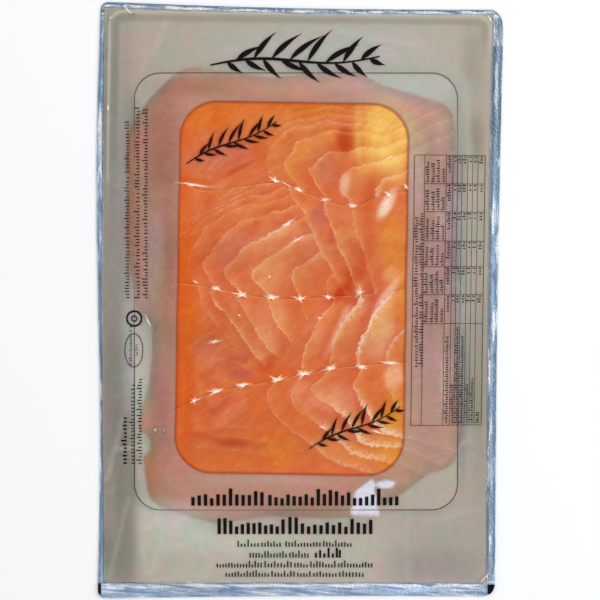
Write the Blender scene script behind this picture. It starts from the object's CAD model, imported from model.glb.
import math

import bpy
import numpy as np
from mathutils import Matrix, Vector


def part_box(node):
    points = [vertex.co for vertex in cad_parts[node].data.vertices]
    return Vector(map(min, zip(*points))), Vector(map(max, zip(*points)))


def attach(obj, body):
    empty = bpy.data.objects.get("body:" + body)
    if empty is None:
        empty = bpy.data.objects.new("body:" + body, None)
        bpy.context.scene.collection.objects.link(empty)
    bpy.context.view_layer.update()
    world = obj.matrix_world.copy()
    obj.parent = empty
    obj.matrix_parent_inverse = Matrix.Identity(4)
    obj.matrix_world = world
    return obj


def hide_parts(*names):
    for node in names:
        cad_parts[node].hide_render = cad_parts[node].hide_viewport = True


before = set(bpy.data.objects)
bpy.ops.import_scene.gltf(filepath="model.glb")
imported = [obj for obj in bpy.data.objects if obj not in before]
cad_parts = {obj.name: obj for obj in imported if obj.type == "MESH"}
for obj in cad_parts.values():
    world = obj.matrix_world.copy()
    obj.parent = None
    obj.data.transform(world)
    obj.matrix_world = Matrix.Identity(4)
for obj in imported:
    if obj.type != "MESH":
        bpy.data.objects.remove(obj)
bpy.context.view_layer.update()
mm = 0.001  # every length below is in millimetres, and turns to metres when a mesh is made


# Small helpers for colours, nodes and fields
def colour(code):  # a screen colour such as "d7733c" as linear values
    parts = [int(code[start:start + 2], 16) / 255 for start in (0, 2, 4)]
    return [part / 12.92 if part < 0.04045 else ((part + 0.055) / 1.055) ** 2.4 for part in parts] + [1.0]


def addNode(tree, kind, inputs=(), **settings):  # a socket given as a value becomes a link
    made = tree.nodes.new(kind)
    for key, value in settings.items():
        setattr(made, key, value)
    for key, value in dict(inputs).items():
        if isinstance(value, bpy.types.NodeSocket):
            tree.links.new(value, made.inputs[key])
        else:
            made.inputs[key].default_value = value
    return made


def mathNode(tree, operation, *values):
    return addNode(tree, "ShaderNodeMath", dict(enumerate(values)), operation=operation).outputs[0]


def mixColour(tree, share, first, second, blend="MIX"):
    inputs = {0: share, 6: first, 7: second}
    return addNode(tree, "ShaderNodeMix", inputs, data_type="RGBA", blend_type=blend).outputs[2]


def paintLayers(tree, body, layers):  # a layer: its share, its colour, and its blend where it isn't plain
    for share, paint, *blend in layers:
        body = mixColour(tree, share, body, colour(paint) if isinstance(paint, str) else paint, *blend)
    return body


def remap(tree, value, start, end, low=0.0, high=1.0, smooth=True):
    inputs = {"Value": value, "From Min": start, "From Max": end, "To Min": low, "To Max": high}
    kind = "SMOOTHSTEP" if smooth else "LINEAR"
    return addNode(tree, "ShaderNodeMapRange", inputs, interpolation_type=kind).outputs[0]


def attribute(tree, name, output="Fac"):
    return addNode(tree, "ShaderNodeAttribute", attribute_name=name).outputs[output]


def objectPoint(tree):
    return addNode(tree, "ShaderNodeTexCoord").outputs["Object"]


def noise(tree, size, detail=2.0, point=None, output="Fac", roughness=0.5):  # size of a blotch in mm
    inputs = {"Vector": point or objectPoint(tree), "Scale": 1 / (size * mm), "Detail": detail,
              "Roughness": roughness}
    return addNode(tree, "ShaderNodeTexNoise", inputs).outputs[output]


def newMaterial(name):
    material = bpy.data.materials.new(name)
    material.use_nodes = True
    tree = material.node_tree
    tree.nodes.clear()
    output = tree.nodes.new("ShaderNodeOutputMaterial")
    return material, tree, output.inputs["Surface"]


def principled(tree, surface, **inputs):
    named = {key.replace("_", " "): value for key, value in inputs.items()}
    shader = addNode(tree, "ShaderNodeBsdfPrincipled", named)
    tree.links.new(shader.outputs[0], surface)
    return shader


def newGroup(name, inputs, outputs):
    tree = bpy.data.node_groups.new(name, "ShaderNodeTree")
    for label, kind in inputs.items():
        tree.interface.new_socket(label, in_out="INPUT", socket_type="NodeSocket" + kind)
    for label, kind in outputs.items():
        tree.interface.new_socket(label, in_out="OUTPUT", socket_type="NodeSocket" + kind)
    return tree, tree.nodes.new("NodeGroupInput").outputs, tree.nodes.new("NodeGroupOutput").inputs


def useGroup(tree, group, inputs):
    return addNode(tree, "ShaderNodeGroup", inputs, node_tree=group).outputs


def softStep(value, start, end):
    share = np.clip((value - start) / (end - start), 0, 1)
    return share * share * (3 - 2 * share)


def softNoise(x, y, size, seed):  # smooth noise between -1 and 1, with bumps about as wide as size
    count = 64
    table = np.random.default_rng(seed).uniform(-1, 1, (count, count))
    u, v = x / size + count / 2, y / size + count / 2
    column, row = np.floor(u).astype(int), np.floor(v).astype(int)
    across, up = softStep(u - column, 0, 1), softStep(v - row, 0, 1)
    near = [[table[(row + j) % count, (column + i) % count] for i in (0, 1)] for j in (0, 1)]
    lower = near[0][0] * (1 - across) + near[0][1] * across
    upper = near[1][0] * (1 - across) + near[1][1] * across
    return lower * (1 - up) + upper * up


# The lattice that carries every height of the pack
lattice = {"step": 1.2, "margin": 4.0}
packLow, packHigh = [np.array(corner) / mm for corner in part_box("printed_film")]
latticeX = np.arange(packLow[0] - lattice["margin"], packHigh[0] + lattice["margin"], lattice["step"])
latticeY = np.arange(packLow[1] - lattice["margin"], packHigh[1] + lattice["margin"], lattice["step"])
gridX, gridY = np.meshgrid(latticeX, latticeY)


def sample(field, x, y):  # a lattice field at any place, by blending its four neighbours
    u = np.clip((x - latticeX[0]) / lattice["step"], 0, len(latticeX) - 1.001)
    v = np.clip((y - latticeY[0]) / lattice["step"], 0, len(latticeY) - 1.001)
    column, row = u.astype(int), v.astype(int)
    across, up = u - column, v - row
    if field.ndim == 3:
        across, up = across[..., None], up[..., None]
    lower = field[row, column] * (1 - across) + field[row, column + 1] * across
    upper = field[row + 1, column] * (1 - across) + field[row + 1, column + 1] * across
    return lower * (1 - up) + upper * up


def sampler(field):
    return lambda x, y: sample(field, x, y)


def depthInRing(ring, x, y):  # distance to a closed ring of points, positive inside
    nearest = np.full(x.shape, np.inf)
    inside = np.zeros(x.shape, bool)
    for (ax, ay), (bx, by) in zip(ring, np.roll(ring, -1, axis=0)):
        dx, dy = bx - ax, by - ay
        share = np.clip(((x - ax) * dx + (y - ay) * dy) / max(dx * dx + dy * dy, 1e-9), 0, 1)
        nearest = np.minimum(nearest, np.hypot(x - ax - share * dx, y - ay - share * dy))
        if by != ay:
            inside ^= ((ay > y) != (by > y)) & (x < (bx - ax) * (y - ay) / (by - ay) + ax)
    return np.where(inside, nearest, -nearest)


def depthInRoundBox(x, y, centre, size, radius, turn=0.0):  # the same for a rounded rectangle
    along, side = math.cos(turn), math.sin(turn)
    u = np.abs((x - centre[0]) * along + (y - centre[1]) * side) - size[0] / 2 + radius
    v = np.abs((y - centre[1]) * along - (x - centre[0]) * side) - size[1] / 2 + radius
    return radius - np.hypot(np.maximum(u, 0), np.maximum(v, 0)) - np.minimum(np.maximum(u, v), 0)


def outlineOf(node):  # the plan outline of a CAD node, from the corners of its upright walls
    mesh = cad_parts[node].data
    corners = set()
    for face in mesh.polygons:
        if abs(face.normal.z) < 0.05:
            for index in face.vertices:
                spot = mesh.vertices[index].co / mm
                corners.add((round(spot.x, 2), round(spot.y, 2)))
    points = np.array(sorted(corners))
    centre = points.mean(axis=0)
    return points[np.argsort(np.arctan2(points[:, 1] - centre[1], points[:, 0] - centre[0]))]


def blur(field, rounds=1):
    for _ in range(rounds):
        edged = np.pad(field, 1, mode="edge")
        field = (edged[:-2, 1:-1] + 2 * edged[1:-1, 1:-1] + edged[2:, 1:-1]) / 4
        edged = np.pad(field, 1, mode="edge")
        field = (edged[1:-1, :-2] + 2 * edged[1:-1, 1:-1] + edged[1:-1, 2:]) / 4
    return field


def settle(level, rounds):  # a limp sheet laid over a pile: it bridges the foot of each step
    sheet = level
    for _ in range(rounds):
        sheet = np.maximum(level, blur(sheet))
    return sheet


def makeObject(name, vertices, faces, material, sharpAngle=None):
    mesh = bpy.data.meshes.new(name)
    mesh.from_pydata((np.asarray(vertices, float) * mm).tolist(), [], np.asarray(faces).tolist())
    mesh.update()
    piece = bpy.data.objects.new(name, mesh)
    bpy.context.scene.collection.objects.link(piece)
    mesh.materials.append(material)
    if sharpAngle is not None:
        mesh.polygons.foreach_set("use_smooth", np.ones(len(mesh.polygons), bool))
        mesh.set_sharp_from_angle(angle=math.radians(sharpAngle))
    return piece


layerKinds = {1: ("FLOAT", "value"), 3: ("FLOAT_VECTOR", "vector"), 4: ("FLOAT_COLOR", "color")}


# A closed thin body between two heights, cut to the outline where depthAt is nought.
# Nodes just outside move onto the outline, so the edge is smooth at any lattice step.
def makeSheet(name, material, depthAt, lowAt, highAt, fields=None, step=None, box=None, sharpAngle=50):
    step = step or lattice["step"]
    low, high = box or ((latticeX[0], latticeY[0]), (latticeX[-1], latticeY[-1]))
    nodeX, nodeY = np.meshgrid(*[np.arange(low[axis], high[axis] + step, step) for axis in (0, 1)])
    depth = depthAt(nodeX, nodeY)
    held = depth > 0.3 * step
    touched = held[:-1, :-1] | held[:-1, 1:] | held[1:, :-1] | held[1:, 1:]
    row, column = np.nonzero(touched)
    width = nodeX.shape[1]
    corner = row * width + column
    quads = np.stack([corner, corner + 1, corner + width + 1, corner + width], axis=1)
    used, quads = np.unique(quads, return_inverse=True)
    quads = quads.reshape(-1, 4)
    x, y = nodeX.ravel()[used], nodeY.ravel()[used]
    loose = ~held.ravel()[used]
    probe = 0.05
    for _ in range(3):  # a few short walks down the slope of the depth field
        here = depthAt(x[loose], y[loose])
        slopeX = (depthAt(x[loose] + probe, y[loose]) - here) / probe
        slopeY = (depthAt(x[loose], y[loose] + probe) - here) / probe
        size = np.maximum(np.hypot(slopeX, slopeY), 0.3)
        x[loose] -= here * slopeX / size
        y[loose] -= here * slopeY / size
    count = len(used)
    starts, ends = quads.ravel(), np.roll(quads, -1, axis=1).ravel()
    rim = ~np.isin(starts * count + ends, ends * count + starts)
    walls = np.stack([ends[rim], starts[rim], starts[rim] + count, ends[rim] + count], axis=1)
    faces = np.concatenate([quads, quads[:, ::-1] + count, walls])
    top = np.stack([x, y, highAt(x, y)], axis=1)
    bottom = np.stack([x, y, lowAt(x, y)], axis=1)
    piece = makeObject(name, np.concatenate([top, bottom]), faces, material, sharpAngle)
    for label, field in (fields or {}).items():
        values = sample(field, x, y)
        values = np.concatenate([values, values])
        kind, key = layerKinds[1 if values.ndim == 1 else values.shape[1]]
        layer = piece.data.attributes.new(label, kind, "POINT")
        layer.data.foreach_set(key, values.astype(np.float32).ravel())
    return piece


def finishPiece(piece, slot, *nodes):
    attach(piece, "root")
    for node in nodes:
        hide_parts(node)
    return piece


def makeMuscleGroup():  # one family of the pale seams between the blocks of muscle
    tree, given, made = newGroup(
        "muscleSeams",
        {"Muscle": "Vector", "Seam Width": "Float", "Feather": "Float", "Teeth": "Float"},
        {"Seam": "Float", "Halo": "Float", "Ramp": "Float", "Tone": "Float"})
    parts = addNode(tree, "ShaderNodeSeparateXYZ", {0: given["Muscle"]}).outputs
    shift = mathNode(tree, "DIVIDE", given["Feather"], parts[1])
    phase = mathNode(tree, "ADD", parts[0], shift)
    past = mathNode(tree, "MULTIPLY", mathNode(tree, "FRACT", phase), parts[1])
    ahead = mathNode(tree, "SUBTRACT", parts[1], past)
    inside = remap(tree, parts[2], -0.5, 0.5)
    toothed = mathNode(tree, "MULTIPLY", given["Seam Width"], given["Teeth"])
    soft = remap(tree, past, 0.0, toothed, 1.0, 0.0)
    sharp = remap(tree, ahead, 0.0, mathNode(tree, "MULTIPLY", given["Seam Width"], 0.25), 1.0, 0.0)
    halo = remap(tree, past, 0.0, mathNode(tree, "MULTIPLY", given["Seam Width"], 3.2), 1.0, 0.0)
    ramp = mathNode(tree, "SUBTRACT", 1.0, mathNode(tree, "DIVIDE", past, parts[1]))
    tone = addNode(tree, "ShaderNodeTexWhiteNoise", {"W": mathNode(tree, "FLOOR", phase)},
                   noise_dimensions="1D").outputs["Value"]
    seam = mathNode(tree, "MAXIMUM", soft, sharp)
    for label, value in (("Seam", seam), ("Halo", halo), ("Ramp", ramp), ("Tone", tone)):
        tree.links.new(mathNode(tree, "MULTIPLY", value, inside), made[label])
    return tree


def makeCrinkleGroup():  # fine creases and folds of a stiff film
    tree, given, made = newGroup(
        "filmCrinkle", {"Point": "Vector", "Crease Size": "Float", "Strength": "Float"}, {"Height": "Float"})
    scale = mathNode(tree, "DIVIDE", 1 / mm, given["Crease Size"])
    wide = addNode(tree, "ShaderNodeTexNoise", {"Vector": given["Point"], "Scale": scale, "Detail": 3.0})
    ridge = mathNode(tree, "ABSOLUTE", mathNode(tree, "SUBTRACT", wide.outputs["Fac"], 0.5))
    cell = addNode(tree, "ShaderNodeTexVoronoi", {"Vector": given["Point"], "Scale": scale},
                   feature="DISTANCE_TO_EDGE").outputs["Distance"]
    fold = mathNode(tree, "MINIMUM", mathNode(tree, "MULTIPLY", cell, 3.0), 0.6)
    total = mathNode(tree, "ADD", mathNode(tree, "MULTIPLY", ridge, 1.6), fold)
    tree.links.new(mathNode(tree, "MULTIPLY", total, given["Strength"]), made["Height"])
    return tree


muscleGroup = makeMuscleGroup()
crinkleGroup = makeCrinkleGroup()


# The clear opening in the print
window = {"centre": (-4.05, 5.8), "size": (114.4, 186.1), "radius": 18.6, "turn": math.radians(-0.93)}


def windowDepth(x, y):
    return depthInRoundBox(x, y, window["centre"], window["size"], window["radius"], window["turn"])


flesh = {
    "gap": 0.3,  # air left between pieces that touch
    "thickness": 3.0,
    "rim": 0.5,  # at the cut edge
    "thinnest": 0.15,
    "taper": 12.0,
    "edgeRound": 2.2,
    "swell": 0.22,
    "swellSize": 14.0,
    "grooveDepth": 0.13,
    "grooveWidth": 0.8,
    "drape": 10,  # rounds of settling over the slice below
    "ragged": 0.7,
    "raggedSizes": {7.0: 40, 2.8: 50},  # size of the bays in the edge, and their seed
    "notches": [((-81, -72.5), 6.4)],  # bites out of the edge of the pile: middle, radius
    "overlap": 0.5,  # how far past its own edge a piece still carries the one above
    "boardCorner": 13.0,
    "brown": "96602a",  # the smoked outer edge
    "brownReach": 7.0,
    "brownShare": 0.95,
    "brownFromWindow": (2, 9),  # none in the window, all of it this far outside
}
fleshLook = {
    "turn": 38,  # the way the fibres run, in degrees
    "stretch": 4.0,  # length of a fibre for its width
    "fibreDark": [0.88, 0.83, 0.8, 1], "fibreLight": [1.12, 1.17, 1.2, 1],
    "strandDark": [0.95, 0.82, 0.76, 1], "strandLight": [1.05, 1.12, 1.14, 1],
    "blockDark": [0.95, 0.84, 0.95, 1], "blockLight": [1.03, 1.18, 1.12, 1],
    "rosy": [0.98, 0.97, 1.35, 1], "deep": [0.97, 0.78, 0.6, 1],
    "light": [1.06, 1.2, 1.22, 1], "red": [0.93, 0.74, 0.66, 1],
    "halo": "efba82", "leanSeam": "efae78", "fatSeam": "f8e0c4",
    "rim": "eba866", "windowEdge": "b23c0a",
}

# Seams between the muscle blocks. Each family numbers its seams in order, and the field runs
# through them all. The first list says how plainly each seam shows. A family with a side holds
# only inside that ring.
seams = {
    1: [{
        "plain": {1: 0.3, 2: 0.35, 3: 0.45, 4: 0.6, 5: 0.75, 6: 0.7, 7: 0.6},
        "lines": {
            1: [(-48.5, 93.8), (-25, 90.8), (-15, 85.8), (-7.5, 91.2), (2.5, 94.8), (26.5, 95.2),
                (47.5, 96.2)],
            2: [(0, 89.8), (9, 92), (26.5, 92.2), (39, 89.8), (48.5, 91.8)],
            3: [(-13, 59.8), (-15, 63.8), (-17, 68.2), (-16.5, 71.2), (-13.5, 78.2), (-8.5, 83.8),
                (-1.5, 87.2), (12.5, 89.8), (22.5, 88.5), (35, 87.8), (50, 91.2)],
            4: [(-0.5, 55.2), (-6.5, 63.8), (-8.5, 67.2), (-6, 71.8), (-1.5, 76.2), (10, 82.8), (22.5, 84.8),
                (35, 83.5), (52, 86.8)],
            5: [(13, 50.8), (6.5, 60.8), (4, 63.8), (7.5, 67.8), (11.5, 72.2), (23.5, 74.2), (35, 76),
                (53.5, 80.8)],
            6: [(25, 48.8), (21.5, 53.8), (19.5, 58.2), (21.2, 62.2), (29, 67.2), (41.5, 70.2), (53.5, 73.5)],
            7: [(38.5, 49.8), (36, 52.8), (38.5, 55.8), (45, 61.2), (55, 64.8)],
        }}],
    2: [{
        "plain": {1: 0.45, 2: 0.4, 3: 0.45, 4: 0.45, 5: 0.4, 6: 0.6, 7: 0.75, 8: 0.8, 9: 0.75, 10: 0.4},
        "lines": {
            1: [(-59.5, 38.8), (-51, 45.8), (-44, 48.5), (-37.5, 52.2), (-31.5, 57.2), (-28.5, 63.2),
                (-23.5, 68.2)],
            2: [(-41.5, 48), (-36, 51.2), (-29, 56.2), (-20, 63.2)],
            3: [(-40, 46.8), (-30, 53.2), (-23.5, 56.2), (-15, 58.5)],
            4: [(-59, 29.8), (-52.5, 35.8), (-46, 43.2), (-36.5, 46.2), (-28.5, 50.8), (-14, 53.2)],
            5: [(-51.5, 8.2), (-56, 15.8), (-55, 22.2), (-51, 29.8), (-44, 38.8), (-29, 47.2), (-11.5, 49.8)],
            6: [(-41.5, 5.8), (-48.8, 15.8), (-45, 22.2), (-41, 27.2), (-33.5, 35.8), (-23.5, 40.8),
                (-8.5, 45.2)],
            7: [(-29, 3.2), (-38.5, 14.2), (-33.5, 19.8), (-25, 28.5), (-18.5, 31.2), (-5, 38.5)],
            8: [(-15, 1.2), (-24, 12.2), (-18.5, 18.8), (-8.5, 25.8), (-1, 30.2)],
            9: [(0, 1.2), (-3.5, 10.8), (-3, 14.8), (1.5, 18.2), (9, 22.8)],
            10: [(15, 1.2), (13.8, 11.8), (17.5, 13.8)],
        },
        "side": [(-100, 80), (-12, 80), (-8, 58), (-4, 51), (1.5, 43.8), (5, 36.2), (8.5, 28.2), (12.5, 20.8),
                 (16.2, 14.2), (22, 4), (24, -40), (-100, -40)],
    }, {
        "plain": {1: 1.0, 2: 0.8, 3: 0.5, 4: 0.1},
        "lines": {
            1: [(-3.8, 51.2), (1.5, 43.8), (5, 36.2), (8.5, 28.2), (12.5, 20.8), (16.2, 14.2), (22.5, 3.8)],
            2: [(13, 50.8), (11.5, 43.8), (15, 38.2), (18.5, 28.8), (22.5, 18.8), (26.5, 9.8)],
            3: [(25.5, 48.2), (26.2, 38.8), (27.5, 33.2), (31, 27.2), (33.5, 18.8), (35, 8.8)],
            4: [(40.5, 52.2), (39, 44.8), (39, 37.2), (42.5, 18.8), (45, 9.8)],
        },
        "side": [(-12, 80), (-8, 58), (-4.4, 51), (1, 43.8), (4.5, 36.2), (8, 28.2), (12, 20.8), (15.7, 14.2),
                 (22, 4), (24, -40), (100, -40), (100, 80)],
    }],
    3: [{
        "plain": {0: 0.3, 1: 0.95, 2: 0.8, 3: 0.75, 4: 0.3},
        "lines": {
            0: [(-51.5, 7.2), (-50, -0.2), (-45, -8.8), (-39, -15.8)],
            1: [(-44.5, 2.2), (-37.5, -6.8), (-30, -16.8), (-23.5, -26.2), (-18.5, -31.8)],
            2: [(-31, -0.2), (-25, -11.2), (-20, -18.8), (-15, -25.2), (-11, -29.2)],
            3: [(-16, 0.8), (-13.5, -7.8), (-10, -12.8), (-6, -19.2)],
            4: [(0, 0.8), (1, -5.2), (4, -9.2)],
        },
        "side": [(-52, 20), (-51, 4), (-50.3, -1), (-45.4, -9.2), (-39, -16.5), (-31, -24), (-22, -33),
                 (-17, -33), (-8, -27), (-3, -20), (4, -10), (11, 1), (12, 20)],
    }, {
        "plain": {1: 0.85, 2: 0.9, 3: 0.85, 4: 0.4},
        "lines": {
            1: [(16, -2.8), (10, -9.2), (6.5, -16.8), (2.5, -26.2), (1, -33.2)],
            2: [(29, 6.2), (30, 0.8), (25, -6.2), (20, -12.8), (16.5, -20.2), (15, -29.2)],
            3: [(51.5, 10.8), (46, 3.8), (38.5, -3.8), (35, -11.8), (30, -21.2), (28.5, -28.2)],
            4: [(62.5, -0.2), (54, -12.8), (47, -20.8), (43.5, -26.2), (43, -31.2)],
        },
        "side": [(12, 20), (11.4, 1), (4.4, -10), (-2.6, -20), (-7.6, -27), (-16.6, -33), (-14, -90),
                 (100, -90), (100, 20)],
    }, {
        "plain": {0: 0.26, 1: 0.28, 2: 0.24},
        "lines": {
            0: [(-40, -15.2), (-47.5, -16.8), (-55, -22.8), (-59, -32.8), (-58.5, -44.2)],
            1: [(-19, -32.2), (-30, -25.2), (-42.5, -22.8), (-50, -26.8), (-53.5, -33.2), (-52, -40.2)],
            2: [(-19, -35.2), (-31, -30.2), (-42.5, -28.2), (-48.5, -31.8), (-48, -36.8), (-37.5, -38.2)],
        },
        "side": [(-52.5, 20), (-51.5, 4), (-50.8, -1), (-45.9, -9.2), (-39.5, -16.5), (-31.5, -24),
                 (-22.5, -33), (-17, -33.4), (-14, -90), (-100, -90), (-100, 20)],
    }],
    4: [{
        "plain": {1: 0.5, 2: 0.45, 3: 0.6, 4: 0.75, 5: 0.5},
        "lines": {
            1: [(-13.5, -42.2), (-16.5, -46.8), (-16.5, -51.2), (-11.5, -57.8), (-6.5, -63.8), (1.5, -69.2),
                (11.5, -76.8), (34, -85.8)],
            2: [(-1.5, -39.8), (-5, -46.8), (-3.5, -51.8), (8.5, -61.2), (18, -68.8), (25, -76.2),
                (40, -80.2)],
            3: [(11.5, -38.2), (6, -44.2), (8.5, -48.8), (21.5, -56.8), (26, -63.8), (31, -71.2),
                (50, -74.2)],
            4: [(30, -35.8), (26, -42.8), (29, -47.8), (36, -60.2), (42, -65.2), (51.5, -68.8)],
            5: [(46, -32.2), (42.5, -39.2), (46, -47.8), (50, -55.2), (55, -59.2)],
        },
        "side": [(-20, -20), (-19, -42), (-22, -50), (-18, -60), (-12, -68), (-8, -78), (0, -120),
                 (100, -120), (100, -20)],
    }, {
        "plain": {0: 0.26, 1: 0.24, 2: 0.22, 3: 0.16},
        "lines": {
            0: [(-59, -56.2), (-60, -65.2), (-56, -71.2), (-48.5, -74), (-30, -76.2), (-12.5, -78.2)],
            1: [(-50, -49.2), (-54, -56.2), (-52.5, -63.2), (-45, -66.8), (-31.5, -68.2), (-16, -70.8)],
            2: [(-31.5, -46.2), (-41.5, -51.2), (-46.5, -57.2), (-42.5, -61.8), (-30, -63.2), (-19, -65.2)],
            3: [(-21.5, -46.2), (-31, -50.2), (-37, -55.2), (-30, -58.8), (-21, -59.2)],
        },
        "side": [(-20, -20), (-19.4, -42), (-22.4, -50), (-18.4, -60), (-12.4, -68), (-8.4, -78),
                 (-0.4, -120), (-100, -120), (-100, -20)],
    }],
}

# Broad patches of colour in the flesh: middle, half size, screen colour, strength, turn in degrees
fleshBase = "d56e38"
fleshPatches = [
    ((-60, 0), (9, 110), "d95e14", 0.8, 0),  # the deep orange of the left side
    ((-36, 93), (36, 7), "d86e1a", 0.85, 0),
    ((8, 96), (20, 4), "d07018", 0.85, 0),
    ((-42, 72), (20, 8), "cd6e4c", 0.9, 12),  # rosy, under the top left print
    ((-8, 72), (8, 12), "d98038", 0.7, 20),
    ((6, 84), (16, 7), "d8853f", 0.8, 10),
    ((6, 74), (9, 6), "d98442", 0.7, 30),
    ((13, 66), (6, 9), "c9704c", 0.8, 20),
    ((23, 80), (5, 7.5), "bc4410", 1.0, 0),
    ((44.5, 81), (15.5, 21), "efbb58", 1.0, 0),  # oily yellow corner
    ((30, 60), (6, 6), "d88544", 0.7, 0),
    ((-48, 50), (14, 9), "d86c36", 0.7, 35),
    ((-30, 44), (16, 7), "dc7c44", 0.7, 25),
    ((-34, 25), (8, 12), "cd6f48", 0.8, -20),
    ((-14, 15), (13, 10), "dc8c54", 0.9, 20),
    ((2, 14), (8, 8), "cf7448", 0.7, 0),
    ((9, 40), (5, 11), "c66b50", 0.85, -20),
    ((24, 34), (6, 12), "da8448", 0.7, -15),
    ((33, 22), (3.2, 12), "ce5c28", 0.75, -12),  # a dark red cleft
    ((35, 50), (3, 12), "cc5a20", 0.7, -5),
    ((21, 4), (7.5, 3.4), "c03812", 1.0, 48),
    ((46, 28), (8, 14), "dc8a3c", 0.8, 0),
    ((43.5, 48), (8, 2.8), "f6dabe", 0.95, 62),  # white fat by the right edge
    ((43.5, 3), (13, 2.2), "efc094", 0.8, 50),
    ((21, -11), (18, 2.0), "ebb894", 0.6, 65),
    ((-45, -26), (10, 8), "cb6c48", 0.8, 0),
    ((-31, -10), (7, 13), "d27c48", 0.7, 35),
    ((-14, -8), (8, 12), "dc8850", 0.9, 15),
    ((8, -16), (6, 14), "dc7c50", 0.8, -25),
    ((26, -16), (6, 16), "d87840", 0.8, -25),
    ((33, -22), (3.5, 10), "cd6238", 0.7, -10),
    ((41, -16), (6, 15), "e0a064", 0.9, -15),
    ((47, -38), (5, 8), "ecb284", 0.7, 0),
    ((-16, -39), (14, 4), "d5621e", 0.7, 12),
    ((6, -49), (12, 7), "df8858", 0.8, -20),
    ((-38, -58), (16, 10), "d2683c", 0.8, 0),
    ((-30, -74), (16, 5), "cc5c30", 0.6, 0),
    ((-10, -74), (9, 9), "df7c1e", 0.7, 0),
    ((47, -66), (9, 22), "de8c28", 0.9, 0),  # oily corner below
    ((20, -76), (14, 6), "dc8440", 0.7, -15),
    ((-17.7, -69.5), (1.2, 1.2), "f4b040", 1.0, 0),
    ((-30, 66), (9, 1.3), "bf4a24", 0.7, 28),
    ((-20, 75.5), (4, 7), "d0621a", 0.7, 0),
    ((22.5, 58), (2.6, 6), "ecb890", 0.6, -10),
    ((30, 72), (2.4, 12), "d88a34", 0.6, 4),
    ((-52, 60), (12, 1.2), "c4542a", 0.5, -8),
    ((-20, 52), (14, 1.6), "c95a30", 0.5, 24),
    ((14, 28), (2.2, 9), "c25a44", 0.7, -22),
    ((-40, 36), (10, 2), "c8602c", 0.5, 50),
    ((-54, -8), (2.5, 16), "d06a18", 0.7, 0),
    ((-20, 92), (18, 6), "d87c3c", 0.6, 0),
    ((29.5, 84), (2.2, 14), "e2a450", 0.8, 2),
    ((-44, 46), (8, 7), "c85c24", 0.5, 30),
    ((-12, 30), (22, 7), "e08f5c", 0.55, 10),
    ((10, 24), (9, 6), "d8885c", 0.6, 0),
    ((26, 12), (7, 5), "c24e1c", 0.8, 20),
    ((27, 1), (6, 5), "c24a1a", 0.75, 0),
    ((46, 13), (5, 4), "eeb878", 0.5, 30),
    ((-56, 10), (3.5, 34), "d66010", 0.6, 0),
    ((-30, -68), (40, 15), "d2641e", 0.3, 0),
    ((42, -74), (16, 9), "db8016", 0.6, 0),
    ((-30, -71), (14, 2), "b8441c", 0.5, -6),
    ((-40, -52), (10, 2.4), "c04a26", 0.45, 35),
    ((-48, -68), (7, 1.8), "b84820", 0.5, -12),
    ((-46, -35), (8, 2), "bc4c28", 0.4, 40),
    ((32, 1), (3.6, 9), "c4562a", 0.85, -32),
    ((47, -3), (4.5, 8), "d88838", 0.8, -30),
    ((-42, -12), (5, 8), "c45c30", 0.6, 10),
    ((-17, -23), (6, 9), "e0905e", 0.7, 10),
    ((20, -48), (9, 7), "e09466", 0.6, -30),
    ((-17, -62), (12, 5), "d06428", 0.5, 0),
    ((-16, -72), (9, 4), "d2701c", 0.6, 0),
    ((-38, -3), (3, 10), "c4562c", 0.6, 32),
    ((-14, -30), (9, 3), "cf5a20", 0.7, 40),
    ((35, -4), (2.4, 10), "cc5a3a", 0.6, -28),
    ((14, -60), (10, 2.4), "c85a34", 0.6, -40),
    ((-44, -66), (14, 1.6), "c4522c", 0.5, 6),
    ((-30, -80), (20, 1.6), "d46a1c", 0.6, 0),
    ((52, 0), (3, 30), "de8c30", 0.6, 0),
    ((-56, -45), (4, 30), "d2580a", 0.5, 0),
    ((-32, -30), (7, 4), "c65a42", 0.7, 20),
    ((-29.5, -37), (7, 2.6), "bc5644", 0.7, 5),
    ((-43, -17), (7, 3.5), "c6562a", 0.65, 20),
    ((-17, -33.5), (4, 5), "c84e1e", 0.6, 0),
    ((-34, -72), (7, 1.8), "b03c1e", 0.6, -4),
    ((-45, -30), (8, 4), "dc8450", 0.5, 30),
    ((-36, -58), (10, 3), "dc8654", 0.5, 40),
    ((-50, -52), (6, 2), "c85426", 0.5, 50),
    ((-22, -52), (4, 9), "d2601c", 0.6, 20),
]
# Where the seams are broad and white with fat: middle, half size, strength
leastFat = 0.12
fatPatches = [
    ((45, 55), (22, 18), 0.5),
    ((38, -14), (20, 21), 0.85),
    ((32, -66), (26, 20), 1.0),
    ((48, 76), (16, 12), 0.35),
    ((-10, 34), (12, 8), 0.75),
]
# How plainly the seams show: middle, half size, share
seamBase = 0.8
seamPatches = [
    ((-40, 82), (26, 22), 0.2), ((-45, 45), (16, 14), 0.6), ((44, 26), (8, 22), 0.3),
    ((-46, -22), (14, 20), 0.6), ((-58, 0), (6, 100), 0.4), ((-8, 25), (10, 16), 0.6),
    ((-16, -36), (10, 6), 0.4), ((-110, 0), (50, 200), 0.3), ((21, 5), (8, 5), 0.15),
    ((44, 86), (14, 13), 0.5),
]


def patchWeight(x, y, centre, size, turn=0):  # flat in the middle, with soft sides
    along, side = math.cos(math.radians(turn)), math.sin(math.radians(turn))
    u = ((x - centre[0]) * along + (y - centre[1]) * side) / size[0]
    v = ((y - centre[1]) * along - (x - centre[0]) * side) / size[1]
    return np.exp(-np.hypot(u, v) ** 4)


def boxWeight(x, y, centre, size):
    return np.exp(-np.abs((x - centre[0]) / size[0]) ** 3 - np.abs((y - centre[1]) / size[1]) ** 3)


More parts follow.
